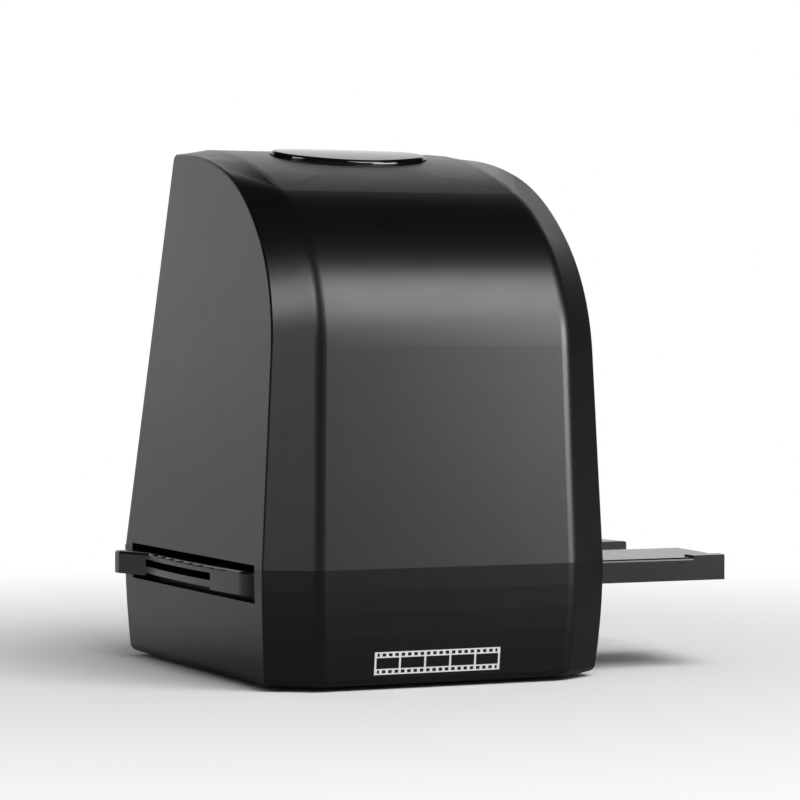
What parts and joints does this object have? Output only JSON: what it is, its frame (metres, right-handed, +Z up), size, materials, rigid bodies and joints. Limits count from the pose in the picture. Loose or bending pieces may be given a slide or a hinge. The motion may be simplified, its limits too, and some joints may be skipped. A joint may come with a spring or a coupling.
{
  "type": "film scanner",
  "caption": "Table-top scanner for film negatives: arched housing with a film holder that slides through a slot, a scan button on top, and keys and a display on the sloped side.",
  "frame": {"origin": "on the table plane under the middle of the housing, half way between its sides and between its sloped face and its front corners", "axes": "+Z up, +X along the film holder's slide towards the end that sticks out, +Y towards the sloped face with the display"},
  "size_m": [0.1168, 0.0891, 0.1111],
  "materials": {
    "cover_plastic": "satin moulded black",
    "base_plastic": "satin moulded black",
    "inner_plastic": "matt black",
    "white_plastic": "matt white",
    "holder_plastic": "satin black",
    "foot_rubber": "matt",
    "steel": "zinc plated",
    "board": "solder-masked laminate",
    "led": "moulded",
    "opal": "opal white",
    "sensor": "glossy chip",
    "lens_glass": "coated",
    "ribbon": "film",
    "window_glass": "clear over black border",
    "display": "dark panel",
    "switch": "moulded",
    "button_plastic": "polished black",
    "key_plastic": "satin black"
  },
  "bodies": {
    "housing": {"cover": "cover_plastic", "base_shell": "base_plastic", "holder_guide": "inner_plastic", "backlight_housing": "white_plastic", "optics_tower": "inner_plastic", "lens_mount": "inner_plastic", "lens_barrel": "inner_plastic", "rubber_feet": "foot_rubber", "case_screws": "steel", "guide_screws": "steel", "tower_screws": "steel", "board_screws": "steel", "button_board_screws": "steel", "detent_spring": "steel", "usb_socket": "steel", "card_socket": "steel", "led_board": "board", "sensor_board": "board", "main_board": "board", "button_board": "board", "backlight_leds": "led", "diffuser_plate": "opal", "image_sensor": "sensor", "lens_elements": "lens_glass", "sensor_ribbon": "ribbon", "display_window": "window_glass", "display_panel": "display", "key_switches": "switch", "button_switch": "switch"},
    "film_holder": {"film_tray": "holder_plastic", "film_lid": "holder_plastic", "lid_hinge_pins": "steel"},
    "scan_button": {"scan_button": "button_plastic"},
    "power_key": {"power_key": "key_plastic"},
    "menu_key": {"menu_key": "key_plastic"},
    "left_key": {"left_key": "key_plastic"},
    "right_key": {"right_key": "key_plastic"}
  },
  "joints": [
    {"name": "holder_slide", "type": "slide", "parent": "housing", "child": "film_holder", "axis": [1, 0, 0], "range_m": [-0.034, 0.07]},
    {"name": "scan_button_press", "type": "slide", "parent": "housing", "child": "scan_button", "axis": [0, 0.1736, -0.9848], "range_m": [0, 0.0008], "stiffness_N_per_m": 1500, "springref_m": -0.0003},
    {"name": "power_key_press", "type": "slide", "parent": "housing", "child": "power_key", "axis": [0, -0.974, -0.2267], "range_m": [0, 0.0005], "stiffness_N_per_m": 1000, "springref_m": -0.0003},
    {"name": "menu_key_press", "type": "slide", "parent": "housing", "child": "menu_key", "axis": [0, -0.974, -0.2267], "range_m": [0, 0.0005], "stiffness_N_per_m": 1000, "springref_m": -0.0003},
    {"name": "left_key_press", "type": "slide", "parent": "housing", "child": "left_key", "axis": [0, -0.974, -0.2267], "range_m": [0, 0.0005], "stiffness_N_per_m": 1000, "springref_m": -0.0003},
    {"name": "right_key_press", "type": "slide", "parent": "housing", "child": "right_key", "axis": [0, -0.974, -0.2267], "range_m": [0, 0.0005], "stiffness_N_per_m": 1000, "springref_m": -0.0003}
  ]
}
